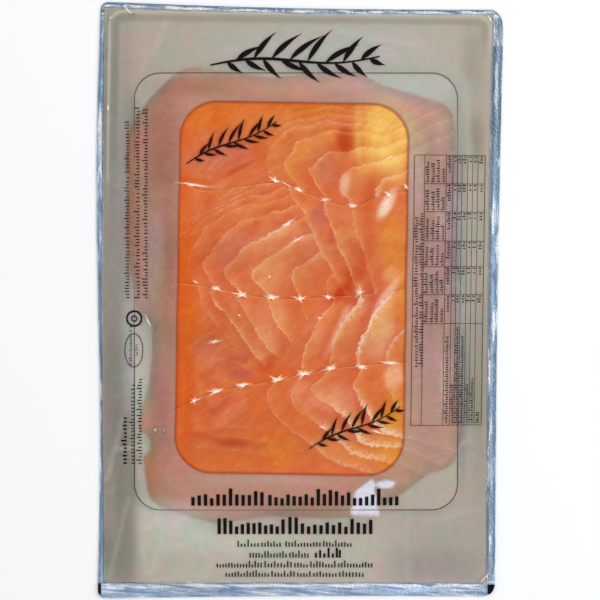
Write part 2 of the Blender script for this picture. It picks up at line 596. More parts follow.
def fleshTint(x, y):
    tint = np.ones(x.shape + (4,)) * colour(fleshBase)
    for centre, size, code, strength, turn in fleshPatches:
        weight = (strength * patchWeight(x, y, centre, size, turn))[..., None]
        tint = tint * (1 - weight) + np.array(colour(code)) * weight
    return tint


def fatAmount(x, y):
    amount = np.full(x.shape, leastFat)
    for centre, size, strength in fatPatches:
        amount = np.maximum(amount, strength * patchWeight(x, y, centre, size))
    return amount


def seamShow(x, y):
    show = np.full(x.shape, seamBase)
    for centre, size, share in seamPatches:
        weight = patchWeight(x, y, centre, size)
        show = show * (1 - weight) + share * weight
    return show


def fieldThrough(lines, x, y):  # a thin-plate field that equals each line's number along that line
    slack = 4.0  # smooths the seams a little
    known = np.array([(*spot, number) for number, line in lines.items() for spot in line], float)
    spots, numbers = known[:, :2], known[:, 2]
    count = len(spots)

    def bend(distance):
        return distance ** 2 * np.log(distance + 1e-9)

    system = np.zeros((count + 3, count + 3))
    apart = np.hypot(spots[:, None, 0] - spots[None, :, 0], spots[:, None, 1] - spots[None, :, 1])
    system[:count, :count] = bend(apart) + slack * np.eye(count)
    system[:count, count] = system[count, :count] = 1
    system[:count, count + 1:] = spots
    system[count + 1:, :count] = spots.T
    weights = np.linalg.solve(system, np.append(numbers, [0, 0, 0]))
    field = weights[count] + weights[count + 1] * x + weights[count + 2] * y
    for (spotX, spotY), weight in zip(spots, weights):
        field = field + weight * bend(np.hypot(x - spotX, y - spotY))
    return field


def muscleFields(families):  # for each family: its field, the distance between seams, and its side
    faint = 0.05  # the share of a seam that has no number
    fade = 0.8  # how far past the last numbered seam its share reaches
    far = 9.0  # well inside the side of a family that has none
    made, shown = [], np.full(gridX.shape, faint)
    everywhere, nowhere = np.full(gridX.shape, far), np.full(gridX.shape, -far)
    for family in families:
        phase = fieldThrough(family["lines"], gridX, gridY)
        slopeY, slopeX = np.gradient(phase, lattice["step"])
        pitch = np.clip(1 / np.maximum(np.hypot(slopeX, slopeY), 1e-6), 2.0, 16.0)
        side = everywhere
        if "side" in family:
            side = depthInRing(np.array(family["side"], float), gridX, gridY)
        numbers = sorted(family["plain"])
        shares = [family["plain"][number] for number in numbers]
        places = [numbers[0] - fade] + numbers + [numbers[-1] + fade]
        plain = np.interp(np.where(side > 0, phase, -99), places, [faint] + shares + [faint])
        made.append(np.stack([phase, pitch, side], axis=-1))
        shown = np.where(side > 0, plain, shown)
    while len(made) < 3:
        made.append(np.stack([0 * gridX, everywhere, nowhere], axis=-1))
    return made, shown * np.clip(1.3 * seamShow(gridX, gridY), 0, 1)


def seamDistance(fields):  # distance from each node to the nearest seam
    nearest = np.full(gridX.shape, 9.0)
    for field in fields:
        phase, pitch, side = field[..., 0], field[..., 1], field[..., 2]
        away = np.abs(phase - np.round(phase)) * pitch
        nearest = np.where(side > 0, np.minimum(nearest, away), nearest)
    return nearest


def sliceThickness(depth, number, fields, show):
    inside = np.maximum(depth, 0)
    swell = flesh["swell"] * softNoise(gridX, gridY, flesh["swellSize"], number) * softStep(inside, 2, 12)
    groove = np.exp(-(seamDistance(fields) / flesh["grooveWidth"]) ** 2) * show * softStep(inside, 0.5, 3)
    body = flesh["rim"] + (flesh["thickness"] - flesh["rim"]) * softStep(inside, 0, flesh["taper"])
    body = body + swell - flesh["grooveDepth"] * groove
    fromTop = 1 - np.clip(inside / flesh["edgeRound"], 0, 1)
    return np.maximum(body * np.sqrt(1 - fromTop ** 2), flesh["thinnest"])


def muscleSeams(tree, fat, fibre, blotch):  # the strongest of the three families everywhere
    jagged = mathNode(tree, "SUBTRACT", fibre, 0.5)
    jagged = mathNode(tree, "MULTIPLY", jagged, remap(tree, fat, 0, 1, 2.4, 5.0))
    drift = mathNode(tree, "MULTIPLY", mathNode(tree, "SUBTRACT", blotch, 0.5), 4.0)
    shared = {"Seam Width": remap(tree, fat, 0.0, 1.0, 0.9, 3.0, smooth=False),
              "Feather": mathNode(tree, "ADD", jagged, drift),
              "Teeth": remap(tree, noise(tree, 1.3, 1.0), 0.35, 0.65, 0.45, 1.7)}
    families = [useGroup(tree, muscleGroup, {"Muscle": attribute(tree, name, "Vector"), **shared})
                for name in ("muscleA", "muscleB", "muscleC")]
    strongest = []
    for label in ("Seam", "Halo", "Ramp", "Tone"):
        first = mathNode(tree, "MAXIMUM", families[0][label], families[1][label])
        strongest.append(mathNode(tree, "MAXIMUM", first, families[2][label]))
    return strongest


def makeFlesh():
    material, tree, surface = newMaterial("salmonFlesh")
    look = fleshLook
    fat, show = attribute(tree, "fat"), attribute(tree, "seamShow")
    inputs = {"Vector": objectPoint(tree), "Rotation": (0, 0, math.radians(look["turn"])),
              "Scale": (look["stretch"], 1.0, 1.0)}
    turned = addNode(tree, "ShaderNodeMapping", inputs, vector_type="TEXTURE").outputs[0]
    fibre = noise(tree, 0.9, 3.0, turned, roughness=0.7)
    strand = noise(tree, 2.2, 3.0, turned, roughness=0.6)
    blotch, patch = noise(tree, 8.0, 3.0), noise(tree, 9.0, 2.0)
    seam, halo, ramp, tone = muscleSeams(tree, fat, fibre, blotch)

    # The blocks of muscle, darker towards one seam, and broad changes of tone over them
    block = mixColour(tree, remap(tree, ramp, 0.1, 1.0), look["blockDark"], look["blockLight"])
    body = paintLayers(tree, attribute(tree, "fleshTint", "Color"), [
        (remap(tree, show, 0.1, 0.8), block, "MULTIPLY"),
        (mathNode(tree, "MULTIPLY", tone, 0.6), look["rosy"], "MULTIPLY"),
        (remap(tree, blotch, 0.45, 0.7, 0.0, 0.6), look["deep"], "MULTIPLY"),
        (remap(tree, patch, 0.5, 0.62, 0.0, 0.5), look["light"], "MULTIPLY"),
        (remap(tree, patch, 0.34, 0.44, 0.3, 0.0), look["red"], "MULTIPLY"),
    ])

    # The pale seams, broken here and there where they are lean
    haloShare = mathNode(tree, "MULTIPLY", halo, show)
    haloShare = mathNode(tree, "MULTIPLY", haloShare, remap(tree, fat, 0, 1, 0.14, 0.45))
    broken = mathNode(tree, "MAXIMUM", remap(tree, noise(tree, 7.0, 2.0), 0.4, 0.6, 0.12, 1.0), fat)
    seamShare = mathNode(tree, "MULTIPLY", seam, mathNode(tree, "MULTIPLY", broken, show))
    seamShare = mathNode(tree, "MULTIPLY", seamShare, remap(tree, fat, 0, 1, 0.62, 0.95))
    seamColour = mixColour(tree, fat, colour(look["leanSeam"]), colour(look["fatSeam"]))
    fromWindow = mathNode(tree, "ABSOLUTE", attribute(tree, "windowDepth"))
    strands = mixColour(tree, remap(tree, strand, 0.35, 0.65), look["strandDark"], look["strandLight"])
    body = paintLayers(tree, body, [
        (haloShare, look["halo"]),
        (seamShare, seamColour),
        (remap(tree, attribute(tree, "rimDepth"), 0.2, 0.9, 0.3, 0.0), look["rim"]),
        (remap(tree, fromWindow, 0.3, 1.7, 0.6, 0.0), look["windowEdge"]),
        (remap(tree, fat, 0, 0.6, 0.5, 0.25), strands, "MULTIPLY"),  # fibres, less plain in the fat
        (0.8, mixColour(tree, fibre, look["fibreDark"], look["fibreLight"]), "MULTIPLY"),
    ])
    relief = mathNode(tree, "MULTIPLY_ADD", seam, -0.6, mathNode(tree, "MULTIPLY", fibre, 0.5))
    normal = addNode(tree, "ShaderNodeBump", {"Height": relief, "Distance": 0.1 * mm}).outputs["Normal"]
    principled(tree, surface, Base_Color=body, Roughness=0.45, Normal=normal, Specular_IOR_Level=0.1)
    return material


def sliceDepth(number):  # how deep inside the ragged outline of one slice, never outside its solid
    depth = depthInRing(outlineOf(f"salmon_slice_{number}"), gridX, gridY)
    for size, seed in flesh["raggedSizes"].items():
        bays = 0.6 + 0.5 * softNoise(gridX, gridY, size, seed + number)
        depth = depth - flesh["ragged"] * size / 7 * bays
    for (x, y), radius in flesh["notches"]:
        depth = np.minimum(depth, np.hypot(gridX - x, gridY - y) - radius)
    return depth


def layFish():
    material = makeFlesh()
    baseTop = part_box("base_film")[1].z / mm
    boardLow, boardHigh = [np.array(corner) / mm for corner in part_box("inner_board")]
    level = np.full(gridX.shape, baseTop + flesh["gap"])
    middle, size = (boardLow[:2] + boardHigh[:2]) / 2, boardHigh[:2] - boardLow[:2]
    boardDepth = depthInRoundBox(gridX, gridY, middle, size, flesh["boardCorner"])
    level = np.where(boardDepth > -flesh["overlap"], boardHigh[2] + flesh["gap"], level)
    depths = {number: sliceDepth(number) for number in seams}
    pileDepth = np.max(list(depths.values()), axis=0)
    opening = windowDepth(gridX, gridY)
    brown = softStep(-pileDepth, -flesh["brownReach"], 0) * softStep(-opening, *flesh["brownFromWindow"])
    brown = (flesh["brownShare"] * brown)[..., None]
    tint = fleshTint(gridX, gridY) * (1 - brown) + np.array(colour(flesh["brown"])) * brown
    fat = fatAmount(gridX, gridY)
    for number, families in seams.items():
        depth = depths[number]
        fields, show = muscleFields(families)
        under = settle(level, flesh["drape"])
        top = under + sliceThickness(depth, number, fields, show)
        named = dict(zip(("muscleA", "muscleB", "muscleC"), fields), fleshTint=tint, fat=fat, seamShow=show,
                     rimDepth=depth, windowDepth=opening)
        piece = makeSheet(f"slice{number}", material, sampler(depth), sampler(under), sampler(top), named,
                          sharpAngle=80)
        finishPiece(piece, "salmon", f"salmon_slice_{number}")
        level = np.where(depth > -flesh["overlap"], top + flesh["gap"], level)
        print("slice", number, "done:", len(piece.data.polygons), "faces")
    return level, boardDepth, pileDepth


pileLevel, boardDepth, pileDepth = layFish()

# The top film, its grey print and its clear window
film = {
    "drape": 60,  # rounds of settling over the pile
    "inkAt": (0.02, 0.05),  # low and high face of the grey layer, above the settled film
    "clearAt": (0.12, 0.24),  # the same of the clear film
    "rippleFrom": (1.0, 10.0),  # outside the board: no ripples yet, and all of them
    "rippleSize": 9.0, "rippleHeight": 0.08,
    "creaseSize": 19.0, "creaseHeight": 0.22,
    "weld": (2.5, 6.0),  # from the cut edge: almost flat on the base film, and free of it
    "weldGap": 0.05, "weldShare": 0.3,
    "grain": 3.0, "grainDepth": 0.12, "bend": 1.28, "roughness": 0.2,  # how the clear film shines
}
panelRing = np.array([(-98.6, 147.3), (-64, 145.9), (9.5, 144), (97.5, 143.7), (95.9, 96), (94.7, 2),
                      (93.7, -142.2), (-98.8, -142.2), (-100, 6)], float)
seal = {"centre": (-1.6, 0.8), "size": (191.5, 286.0), "radius": 7.0, "turn": math.radians(-0.75)}
# Folds in the film: from, to, height, half width
folds = [
    ((-99, -73), (-82, -74), 0.5, 1.2),
    ((-79, -9), (-73, -14.5), 0.5, 0.8),
    ((-96, -57), (-86, -140), -0.45, 4.0),
    ((-97.5, 137), (-91.5, 145), 0.5, 0.9),
    ((86, -142.8), (94.5, -137.5), 0.5, 0.8),
    ((78, 100), (95, 108), 0.3, 2.0),
    ((60, -104), (92, -120), 0.3, 2.2),
    ((-84, 104), (-96, 126), 0.35, 2.2),
]
trimRing = outlineOf("printed_film")
headCorner = {"centre": (93.3, 137.8), "radius": 8.6}  # the silver film is cut rounder here


def trimDepthAt(x, y):
    depth = depthInRing(trimRing, x, y)
    away = np.hypot(x - headCorner["centre"][0], y - headCorner["centre"][1])
    corner = (x > headCorner["centre"][0]) & (y > headCorner["centre"][1])
    return np.where(corner, np.minimum(depth, headCorner["radius"] - away), depth)


trimDepth = trimDepthAt(gridX, gridY)


def segmentDistance(start, end, x, y):
    (ax, ay), (dx, dy) = start, (end[0] - start[0], end[1] - start[1])
    share = np.clip(((x - ax) * dx + (y - ay) * dy) / (dx * dx + dy * dy), 0, 1)
    return np.hypot(x - ax - share * dx, y - ay - share * dy)


def drapeFilm():
    level = np.maximum(pileLevel, blur(settle(pileLevel, film["drape"]), 2))
    ripples = softNoise(gridX, gridY, film["rippleSize"], 21) * film["rippleHeight"]
    creases = (1 - np.abs(softNoise(gridX, gridY, film["creaseSize"], 23))) ** 8 * film["creaseHeight"]
    level = level + softStep(-boardDepth, *film["rippleFrom"]) * np.maximum(ripples + creases, 0)
    for start, end, height, width in folds:
        level = level + height * np.exp(-(segmentDistance(start, end, gridX, gridY) / width) ** 2)
    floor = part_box("base_film")[1].z / mm + film["weldGap"]
    share = film["weldShare"] + (1 - film["weldShare"]) * softStep(trimDepth, *film["weld"])
    return np.maximum(floor + (level - floor) * share, floor)


filmLevel = drapeFilm()


def filmAt(offset):
    return lambda x, y: sample(filmLevel, x, y) + offset


def makeClearFilm():
    material, tree, surface = newMaterial("clearFilm")
    inputs = {"Height": noise(tree, film["grain"], 1.0), "Distance": film["grainDepth"] * mm}
    normal = addNode(tree, "ShaderNodeBump", inputs).outputs["Normal"]
    gloss = addNode(tree, "ShaderNodeFresnel", {"IOR": film["bend"], "Normal": normal}).outputs[0]
    front = mathNode(tree, "SUBTRACT", 1.0, addNode(tree, "ShaderNodeNewGeometry").outputs["Backfacing"])
    gloss = mathNode(tree, "MULTIPLY", gloss, front)  # seen from inside the film would turn to a mirror
    clear = addNode(tree, "ShaderNodeBsdfTransparent").outputs[0]
    inputs = {"Roughness": film["roughness"], "Normal": normal}
    shine = addNode(tree, "ShaderNodeBsdfGlossy", inputs).outputs[0]
    seen = addNode(tree, "ShaderNodeMixShader", {0: gloss, 1: clear, 2: shine}).outputs[0]
    shadow = addNode(tree, "ShaderNodeLightPath").outputs["Is Shadow Ray"]
    mixed = addNode(tree, "ShaderNodeMixShader", {0: shadow, 1: seen, 2: clear}).outputs[0]
    tree.links.new(mixed, surface)
    return material


greyLook = {
    "mottleRosy": [1.08, 0.97, 0.99, 1], "mottleGreen": [0.93, 1.03, 0.95, 1],
    "wornDark": [0.94, 0.94, 0.94, 1], "wornLight": [1.06, 1.06, 1.06, 1],
    "wrinkle": "e4e0d6", "boardLine": "2e3036", "windowRim": "5a2408",
    "sealCrest": "e6e2dc", "sealTrough": "66644f", "troughAt": 3.2, "border": "4b566a",
}


def makeGreyInk():
    material, tree, surface = newMaterial("greyInk")
    look = greyLook
    strength = attribute(tree, "panelTint", "Alpha")
    mottle = remap(tree, noise(tree, 15.0, 3.0), 0.44, 0.56)
    worn = remap(tree, noise(tree, 3.0, 3.0), 0.3, 0.7)
    wander = mathNode(tree, "SUBTRACT", noise(tree, 16.0, 4.0, roughness=0.6), 0.5)
    wrinkle = remap(tree, mathNode(tree, "ABSOLUTE", wander), 0.0, 0.012, 0.22, 0.0)
    away = mathNode(tree, "ABSOLUTE", attribute(tree, "boardDepth"))
    crease = remap(tree, away, 0.1, 0.45, 1.0, 0.0)
    crease = mathNode(tree, "MULTIPLY", crease, attribute(tree, "creaseShare"))
    rim = remap(tree, attribute(tree, "windowAway"), 0.15, 0.7, 0.6, 0.0)
    border = remap(tree, attribute(tree, "panelDepth"), 0.15, 0.7, 0.6, 0.0)
    seal, sealShare = attribute(tree, "sealDepth"), attribute(tree, "sealShare")
    crest = remap(tree, mathNode(tree, "ABSOLUTE", seal), 0.2, 1.0, 0.75, 0.0)
    fromTrough = mathNode(tree, "ABSOLUTE", mathNode(tree, "SUBTRACT", seal, look["troughAt"]))
    trough = remap(tree, fromTrough, 0.6, 2.6, 0.5, 0.0)
    body = paintLayers(tree, attribute(tree, "panelTint", "Color"), [
        (remap(tree, strength, 0.35, 0.6, 1.0, 0.0),
         mixColour(tree, mottle, look["mottleRosy"], look["mottleGreen"]), "MULTIPLY"),
        (wrinkle, look["wrinkle"]),
        (1.0, mixColour(tree, worn, look["wornDark"], look["wornLight"]), "MULTIPLY"),
        (crease, look["boardLine"]),
        (rim, look["windowRim"]),
        (mathNode(tree, "MULTIPLY", crest, sealShare), look["sealCrest"]),
        (mathNode(tree, "MULTIPLY", trough, sealShare), look["sealTrough"]),
        (border, look["border"]),
    ])
    dark = mathNode(tree, "MAXIMUM", mathNode(tree, "MAXIMUM", crease, rim), border)
    alpha = mathNode(tree, "MULTIPLY_ADD", dark, 0.35, strength)
    principled(tree, surface, Base_Color=body, Roughness=0.5, Alpha=alpha, Specular_IOR_Level=0.2)
    return material


# The grey print: middle, half size, linear colour, strength; the last value is the alpha of one face
panelBase = (0.62, 0.50, 0.44, 0.225)
panelPatches = [
    ((0, 125), (60, 20), (0.62, 0.50, 0.40, 0.225), 1.0),
    ((70, 130), (40, 22), (0.66, 0.56, 0.50, 0.225), 1.0),
    ((0, -128), (85, 22), (0.75, 0.67, 0.62, 0.225), 1.0),
    ((75, -128), (30, 26), (0.52, 0.44, 0.42, 0.24), 0.9),
    ((-93.5, 10), (9.5, 150), (0.30, 0.25, 0.25, 0.30), 0.9),
    ((-87.5, -118), (6, 34), (0.22, 0.20, 0.16, 0.31), 0.9),
    ((-84, 92), (3.5, 9), (0.30, 0.30, 0.26, 0.28), 0.6),
    ((-92, -62), (8, 48), (0.21, 0.185, 0.165, 0.31), 0.8),
    ((-97, -105), (4, 36), (0.34, 0.28, 0.29, 0.28), 0.8),
    ((79, 30), (4, 62), (0.30, 0.26, 0.33, 0.31), 0.8),
    ((73.5, 26), (4, 58), (0.30, 0.26, 0.28, 0.29), 0.75),
    ((81.5, -58), (2.6, 34), (0.28, 0.18, 0.30, 0.32), 0.7),
    ((90, -50), (5, 60), (0.36, 0.30, 0.27, 0.26), 0.7),
    ((88, 80), (5, 15), (0.36, 0.32, 0.22, 0.27), 0.8),
    ((66, 0), (8, 70), (0.46, 0.40, 0.44, 0.25), 0.7),
    ((-72, 0), (9, 90), (0.46, 0.42, 0.38, 0.24), 0.8),
    ((0, -105.5), (26, 4), (0.38, 0.33, 0.26, 0.24), 0.75),
]
# Where the film mirrors a light: outlines of the glare and its colour
glareRings = [
    [(36, -89.5), (37.9, -92), (37.2, -94.3), (39.3, -105.7), (39.8, -108.2), (26.3, -107.9), (25, -105.8),
     (26.6, -102.7), (27.4, -95.8), (31.3, -93)],
    [(38, -91.7), (42, -90.1), (47.7, -90.5), (46.9, -93.4), (42, -94.5), (38, -93.2)],
]
glareTint = (0.76, 0.75, 0.85, 0.85)
# Lighter and darker parts of the print: middle, half size, how much stronger each of its colours is
panelShades = [
    ((-92, 75), (4, 72), (1.15, 1.2, 1.4)),
    ((-97.5, 101), (3.5, 38), (0.62, 0.65, 0.62)),
    ((-86, -26), (4, 32), (1.55, 1.8, 2.0)),
    ((-79, -42), (4, 38), (1.3, 1.45, 1.5)),
    ((2, 126), (52, 14), (1.05, 1.25, 1.55)),
    ((50, 106), (34, 6), (1.02, 1.25, 1.45)),
    ((65, 38), (14, 62), (1.0, 1.22, 1.32)),
    ((59, 60), (5, 14), (1.15, 1.3, 1.35)),
    ((69, -2), (6, 14), (0.62, 0.72, 0.66)),
    ((66, 50), (9, 28), (0.75, 0.84, 0.76)),
    ((76, -48), (2.5, 14), (0.55, 0.6, 0.65)),
    ((65, -54), (14, 32), (0.95, 1.2, 1.2)),
    ((87, 120), (6, 18), (0.7, 0.68, 0.68)),
    ((82, -36), (4, 20), (0.6, 0.62, 0.7)),
    ((-66, -107), (18, 8), (1.4, 1.6, 1.75)),
    ((-50, -120), (40, 7), (1.15, 1.28, 1.3)),
    ((-96, -128), (6, 14), (0.55, 0.6, 0.6)),
    ((66, -133), (26, 8), (0.82, 0.68, 0.85)),
    ((-73.5, 107), (7, 4), (0.8, 0.82, 0.86)),
    ((88, -50), (4, 14), (0.85, 0.8, 0.72)),
    ((88, 82), (4, 9), (0.83, 0.8, 0.84)),
]
# The same where the print lies over fish
fishShades = [
    ((-86, 54), (5, 50), (1.0, 0.68, 0.45)),
    ((-69, 75), (9, 28), (0.62, 0.6, 0.6)),
    ((-72, 19), (5, 24), (0.75, 1.25, 1.45)),
    ((-65, 21), (4, 24), (0.65, 0.68, 0.75)),
    ((-46, 108), (20, 5), (0.65, 0.68, 0.62)),
    ((-78, -80), (8, 24), (1.1, 0.8, 0.55)),
    ((-69, 5), (5, 20), (1.0, 0.96, 0.72)),
    ((-70, -55), (5, 16), (0.84, 0.78, 0.84)),
    ((-17, -90), (32, 3), (1.08, 1.24, 1.34)),
]
# Light wrinkles in the print: from, to, half width, strength
panelLines = [
    ((-60.5, -104), (-60, -119), 0.8, 0.25), ((-68, -115), (-75, -137), 1.3, 0.3),
    ((-79, -123), (-76.5, -137), 0.9, 0.3), ((-65, -126), (-72.5, -134), 1.0, 0.25),
    ((-72.5, -140), (-44, -137), 0.9, 0.3), ((54, -92), (54, -141), 0.8, 0.2),
    ((-67, 141), (-73, 124), 1.6, 0.3), ((-76.5, 124), (-83, 103), 1.2, 0.2),
    ((-96, 120), (-96.5, 60), 0.8, 0.25), ((-89, -60), (-97, -90), 1.0, 0.25),
    ((-86, -99), (-96, -140), 1.0, 0.2), ((62, -112), (90, -104), 1.4, 0.2),
    ((-62, 112), (-30, 117), 1.2, 0.25), ((20, 135), (62, 128), 1.5, 0.2),
    ((-92, -75), (-78, -73.5), 0.9, 0.5), ((83, 110), (87, 40), 1.4, 0.25),
    ((66, -86), (84, -70), 0.9, 0.25), ((-50, -112), (-20, -121), 1.0, 0.15),
]
panelLineTint = (0.92, 0.88, 0.84, 0.24)
# Parts of the board's outline that show less through the print: middle, half size, strength
creaseFades = [
    ((-83, 40), (3, 48), 0.85),
    ((79.5, 20), (3, 66), 0.75),
    ((-10, -105), (60, 3), 0.35),
]


def paintPanel():
    tint = np.ones(gridX.shape + (4,)) * panelBase
    for centre, size, target, strength in panelPatches:
        weight = (strength * boxWeight(gridX, gridY, centre, size))[..., None]
        tint = tint * (1 - weight) + np.array(target) * weight
    fishShare = softStep(pileDepth, -0.6, 0.6)
    for shades, share in ((panelShades, 1), (fishShades, fishShare)):
        for centre, size, gain in shades:
            weight = share * boxWeight(gridX, gridY, centre, size)
            tint[..., :3] *= 1 + (np.array(gain) - 1) * weight[..., None]
    for start, end, width, strength in panelLines:
        weight = (strength * np.exp(-(segmentDistance(start, end, gridX, gridY) / width) ** 2))[..., None]
        tint = tint * (1 - weight) + np.array(panelLineTint) * weight
    for ring in glareRings:
        weight = softStep(depthInRing(np.array(ring, float), gridX, gridY), -0.6, 0.5)[..., None]
        tint = tint * (1 - weight) + np.array(glareTint) * weight
    crease = np.ones(gridX.shape)
    for centre, size, strength in creaseFades:
        crease = crease * (1 - strength * boxWeight(gridX, gridY, centre, size))
    return tint, crease


def panelDepth(x, y):
    return depthInRing(panelRing, x, y)


def greyDepth(x, y):  # the panel without the window
    return np.minimum(panelDepth(x, y), -windowDepth(x, y))


clearFilm = makeSheet("clearTopFilm", makeClearFilm(), trimDepthAt, *map(filmAt, film["clearAt"]))
finishPiece(clearFilm, "top_film", "printed_film")
panelTint, creaseShare = paintPanel()
sealDepth = depthInRoundBox(gridX, gridY, seal["centre"], seal["size"], seal["radius"], seal["turn"])
sealShare = softStep(gridY, 20, 120) * softStep(-gridX, 40, 85)  # the weld shows at the upper left side
sealShare = np.maximum(sealShare, 0.9 * softStep(gridY, 120, 136))  # and along the head
inkFields = {"boardDepth": boardDepth, "creaseShare": creaseShare, "panelTint": panelTint,
             "windowAway": -windowDepth(gridX, gridY), "panelDepth": panelDepth(gridX, gridY),
             "sealDepth": sealDepth, "sealShare": sealShare}
greyInk = makeSheet("greyPrintPanel", makeGreyInk(), greyDepth, *map(filmAt, film["inkAt"]), inkFields)
finishPiece(greyInk, "grey_ink")
print("top film done:", len(clearFilm.data.polygons), "faces")

# The dark print: rows of plain strokes, rules, rings and brushed sprigs. It lies just proud of the film.
ink = {"low": 0.27, "high": 0.31, "ruleStep": 1.0, "tallShare": 0.3}

# Rows that stand in for printed words: words as (from, to) along the row from its start, the start,
# the turn in degrees, the height of a stroke and the distance between strokes
wordRows = [
    ([(0, 34.5), (38.5, 102)], (-53.5, -102.9), 0, 6.0, 2.9, 1.7),
    ([(0, 32), (35.5, 76)], (-40.5, -117.4), 0, 6.0, 2.9, 1.7),
    ([(0, 10), (12, 21), (24, 41), (43, 56.5)], (-31, -123.8), 0, 2.4, 1.45, 0.65),
    ([(0, 9), (10.5, 18), (20, 29)], (-25, -129.3), 0, 2.5, 1.45, 0.65),
    ([(0, 8.5), (10.5, 12)], (8, -129.3), 0, 3.4, 1.9, 1.05),
    ([(0, 22), (24, 37), (39, 45), (47, 59), (61, 77.5)], (-41.5, -134.2), 0, 2.4, 1.45, 0.65),
    ([(0, 21), (23, 34), (36, 42), (44, 55), (57, 68.5)], (-37, -138.9), 0, 2.4, 1.45, 0.65),
    ([(0, 23), (25, 30), (32, 58), (60, 63), (65, 88)], (-85.6, 1.2), 90, 1.9, 1.5, 0.5),
    ([(0, 8), (10, 19), (21, 24), (26, 46), (48, 52), (54, 78), (80, 95)], (-80.3, 1.2), 90, 1.9, 1.5, 0.5),
    ([(0, 14), (16, 30), (32, 37), (39, 62), (64, 79), (81, 94)], (-76.2, 1.2), 90, 1.9, 1.5, 0.5),
    ([(0, 15), (17, 22.5)], (-86.9, -81.8), 90, 2.1, 1.7, 0.85),
    ([(0, 7), (9, 14), (16, 22), (24, 31), (33, 39)], (-82.9, -81.8), 90, 1.9, 1.5, 0.5),
    ([(0, 8), (10, 19), (21, 42)], (-79.3, -81.8), 90, 1.9, 1.5, 0.5),
    ([(0, 12), (14, 27), (29, 46), (48, 61), (63, 76)], (61.5, -33.0), 90, 1.5, 1.3, 0.46),
    ([(0, 10), (12, 29), (31, 44), (46, 60), (62, 74)], (58.8, -33.0), 90, 1.5, 1.3, 0.46),
    ([(0, 15), (17, 19)], (-84.3, -32.5), 90, 1.2, 1.0, 0.38),
    ([(0, 5)], (-81.3, -27.5), 90, 1.2, 1.0, 0.38),
]
table = {
    "top": 72.5, "bottom": -62.6, "lean": -2.1,  # the table leans a little towards the foot
    "rules": [57.3, 62.5, 73.4, 76.8, 79.1, 81.4, 84.3, 86.8, 89.4, 93.0],
    "bars": [72.5, 58.2, 44.1, 29.5, 16.7, 2.7, -11.8, -62.6],
    "ruleWidth": 0.2,
    "headings": [(64.7, 0.76), (67.5, 0.7), (70.1, 0.84), (72.6, 0.48)],  # row and its share of a cell
    "labels": [44, 20, 49, 44, 20, 23, 6],  # length of the row at the foot of each narrow column
    "figures": [7.5, 2.2, 2.8, 2.8, 2.2, 2.2, 2.8],  # length of the row at the head of each cell
    "height": 1.25, "pitch": 1.15, "stroke": 0.5,
    "outerRule": 1.3,  # the first and the last rule are this much heavier
    "headingGap": 1.2, "headingSpare": 2.0,  # before a heading, and left free in its cell
    "labelStart": 1.4, "figureGap": 0.8,
    "sink": 0.6,  # rows stand this far beyond the middle of their column
}
motif = {
    "places": [((-2.5, 120.0), 85.0, 3.0), ((-34.2, 78.6), 50.0, 25.0), ((27.3, -63.8), 50.0, 25.0)],
    "bow": 0.025, "leaves": 17, "leaf": 0.2, "lean": 42, "width": 0.03,
    "leafFrom": 0.1, "leafReach": 0.84,  # where on the stem the leaves start, and how far they go
    "shortest": 0.45,  # the leaves at both ends, for the middle ones
    "upper": 1.15, "lower": 0.85,  # length of the leaves to each side
    "sway": 14, "curl": 0.22, "draw": 0.1,
    "stemSteps": 60, "leafSteps": 24,
}
# Plain rings: middle, width, height, width of the line
rings = [((-83.1, -9.3), 7.4, 7.4, 0.9), ((-83.1, -9.3), 2.6, 2.6, 0.6), ((-83.3, -25.2), 9.1, 16.8, 0.35)]
cornerMarks = [("footLeftMark", (-101.2, -145.0), (2.6, 5.6)), ("footRightMark", (96.2, -145.2), (4.0, 4.8))]


def pressOn(points, low, high):  # plan points twice over: first the low face, then the high face
    level = sample(filmLevel, points[:, 0], points[:, 1])
    return np.concatenate([np.column_stack([points, level + low]), np.column_stack([points, level + high])])


def ribbon(points, widths, closed=False):  # a closed thin body along a line in plan
    points = np.asarray(points, float)
    ahead = np.roll(points, -1, axis=0) - np.roll(points, 1, axis=0)
    if not closed:
        ahead[0], ahead[-1] = points[1] - points[0], points[-1] - points[-2]
    side = np.column_stack([-ahead[:, 1], ahead[:, 0]]) / np.hypot(*ahead.T)[:, None]
    half = np.broadcast_to(np.asarray(widths, float) / 2, len(points))[:, None]
    count = len(points)
    vertices = pressOn(np.concatenate([points + side * half, points - side * half]), ink["low"], ink["high"])
    here = np.arange(count if closed else count - 1)
    after = (here + 1) % count
    faces = []
    rails = [(0, count), (count, 3 * count), (3 * count, 2 * count), (2 * count, 0)]
    for first, second in rails:
        faces.append(np.stack([first + here, first + after, second + after, second + here], axis=1))
    faces = np.concatenate(faces)
    if not closed:
        end = count - 1
        caps = [[0, count, 3 * count, 2 * count], [end, end + 2 * count, end + 3 * count, end + count]]
        faces = np.concatenate([faces, caps])
    return vertices, faces


def evenLine(corners, step=None):
    corners = np.asarray(corners, float)
    lengths = np.append(0, np.cumsum(np.hypot(*np.diff(corners, axis=0).T)))
    count = max(2, int(lengths[-1] / (step or ink["ruleStep"])) + 1)
    along = np.linspace(0, lengths[-1], count)
    return np.column_stack([np.interp(along, lengths, corners[:, axis]) for axis in (0, 1)])


def joinParts(parts):
    starts = np.cumsum([0] + [len(vertices) for vertices, _ in parts])
    faces = np.concatenate([faces + start for (_, faces), start in zip(parts, starts)])
    return np.concatenate([vertices for vertices, _ in parts]), faces


def ringPoints(centre, width, height, count=40):
    turn = np.linspace(0, 2 * math.pi, count, endpoint=False)
    return np.column_stack([centre[0] + width / 2 * np.cos(turn), centre[1] + height / 2 * np.sin(turn)])


def tableX(x, y):  # the place of an upright rule at this height
    return x + table["lean"] * (table["top"] - y) / (table["top"] - table["bottom"])


